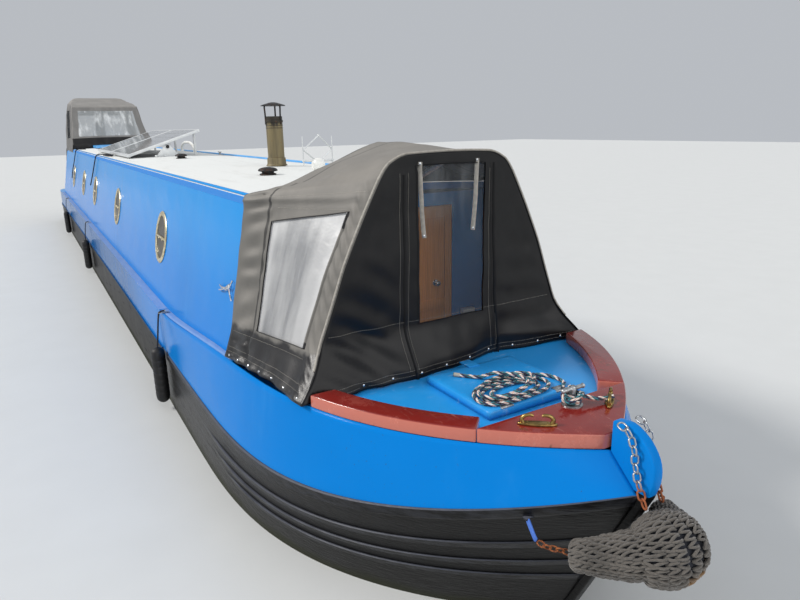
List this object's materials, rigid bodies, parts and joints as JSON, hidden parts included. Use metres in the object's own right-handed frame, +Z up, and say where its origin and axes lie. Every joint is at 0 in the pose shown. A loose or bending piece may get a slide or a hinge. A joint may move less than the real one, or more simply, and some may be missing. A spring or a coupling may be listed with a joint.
{
  "type": "narrowboat",
  "caption": "Steel canal narrowboat with a long cabin, portholes, a covered bow well, a round counter stern under a hood, and a rope bow fender.",
  "frame": {"origin": "on the centreline of the underside of the flat base plate, amidships", "axes": "+X towards the bow, +Y to port, +Z up"},
  "size_m": [17.294, 2.3, 3.43],
  "materials": {
    "blue_paint": "bright blue gloss coach paint",
    "hull_black": "black bitumen hull paint, scuffed",
    "light_blue_paint": "light blue gloss paint",
    "red_paint": "red-brown gloss paint, weathered",
    "roof_paint": "off-white textured roof paint",
    "deck_paint": "grey non-slip deck paint",
    "bronze": "dull bronze",
    "steel": "galvanised steel, part rusted",
    "mooring_rope": "three-strand mooring rope, mixed colours",
    "fender_rope": "knitted dark grey fender rope",
    "varnished_wood": "orange-brown varnished wood",
    "floor_wood": "phenolic ply boards",
    "engine_paint": "green engine enamel",
    "cover_cloth": "dark grey coated canvas",
    "solar_cell": "glazed solar cells in aluminium frames",
    "chimney_paint": "black enamel gone brown with soot and rust",
    "white_plastic": "white plastic",
    "white_paint": "white painted tube",
    "fender_rubber": "black rubber"
  },
  "bodies": {
    "root": {"base_plate": "hull_black", "hull_side_port": "blue_paint", "hull_side_starboard": "blue_paint", "bow_side_port": "blue_paint", "bow_side_starboard": "blue_paint", "counter": "blue_paint", "stern_deck": "blue_paint", "uxter_plate": "hull_black", "swim": "hull_black", "stem": "blue_paint", "foredeck": "blue_paint", "well_deck": "blue_paint", "cant_port": "red_paint", "cant_starboard": "red_paint", "bow_plate": "red_paint", "fairlead_starboard": "bronze", "fairlead_port": "bronze", "mooring_stud": "steel", "rope_knot": "mooring_rope", "bow_fender": "fender_rope", "fender_chain_port": "steel", "fender_chain_starboard": "steel", "cabin_side_port": "blue_paint", "cabin_side_starboard": "blue_paint", "roof": "roof_paint", "handrail_port": "light_blue_paint", "handrail_starboard": "light_blue_paint", "front_bulkhead": "blue_paint", "rear_bulkhead": "blue_paint", "cabin_floor": "floor_wood", "cockpit_deck": "deck_paint", "engine": "engine_paint", "cratch_cover": "cover_cloth", "cratch_frame": "steel", "hood": "cover_cloth", "solar_panel_front": "solar_cell", "solar_panel_rear": "solar_cell", "chimney": "chimney_paint", "mushroom_vent_front": "steel", "mushroom_vent_rear": "steel", "aerial": "white_plastic", "roof_arch": "white_paint", "side_fender_port_1": "fender_rubber", "side_fender_port_2": "fender_rubber", "side_fender_port_3": "fender_rubber", "side_fender_starboard_1": "fender_rubber", "side_fender_starboard_2": "fender_rubber", "side_fender_starboard_3": "fender_rubber"},
    "propeller": {"propeller": "bronze"},
    "steering": {"rudder": "hull_black", "tiller": "light_blue_paint"},
    "locker_lid": {"locker_lid": "blue_paint", "mooring_rope": "mooring_rope"},
    "front_door_port": {"front_door_port": "varnished_wood"},
    "front_door_starboard": {"front_door_starboard": "varnished_wood"},
    "rear_door_port": {"rear_door_port": "varnished_wood"},
    "rear_door_starboard": {"rear_door_starboard": "varnished_wood"},
    "rear_hatch": {"rear_hatch": "light_blue_paint"},
    "engine_board": {"engine_board": "floor_wood"}
  },
  "joints": [
    {"name": "propeller_spin", "type": "hinge", "parent": "root", "child": "propeller", "pos_m": [-7.99, 0, 0.27], "axis": [1, 0, 0], "continuous": true},
    {"name": "steering", "type": "hinge", "parent": "root", "child": "steering", "pos_m": [-8.23, 0, 0.5], "axis": [0, 0, 1], "range_deg": [-35, 35]},
    {"name": "locker_lid_hinge", "type": "hinge", "parent": "root", "child": "locker_lid", "pos_m": [7.89, 0, 1.504], "axis": [0, 1, 0], "range_deg": [0, 75]},
    {"name": "front_door_port_hinge", "type": "hinge", "parent": "root", "child": "front_door_port", "pos_m": [6.55, 0.498, 1.5], "axis": [0, 0, 1], "range_deg": [0, 120]},
    {"name": "front_door_starboard_hinge", "type": "hinge", "parent": "root", "child": "front_door_starboard", "pos_m": [6.55, -0.098, 1.5], "axis": [0, 0, 1], "range_deg": [-120, 0]},
    {"name": "rear_door_port_hinge", "type": "hinge", "parent": "root", "child": "rear_door_port", "pos_m": [-5.35, 0.328, 1.6], "axis": [0, 0, 1], "range_deg": [-110, 0]},
    {"name": "rear_door_starboard_hinge", "type": "hinge", "parent": "root", "child": "rear_door_starboard", "pos_m": [-5.35, -0.328, 1.6], "axis": [0, 0, 1], "range_deg": [0, 110]},
    {"name": "rear_hatch_slide", "type": "slide", "parent": "root", "child": "rear_hatch", "axis": [1, 0, 0], "range_m": [0, 0.65]},
    {"name": "engine_board_hinge", "type": "hinge", "parent": "root", "child": "engine_board", "pos_m": [-6.984, 0, 0.9], "axis": [0, -1, 0], "range_deg": [0, 85]}
  ]
}
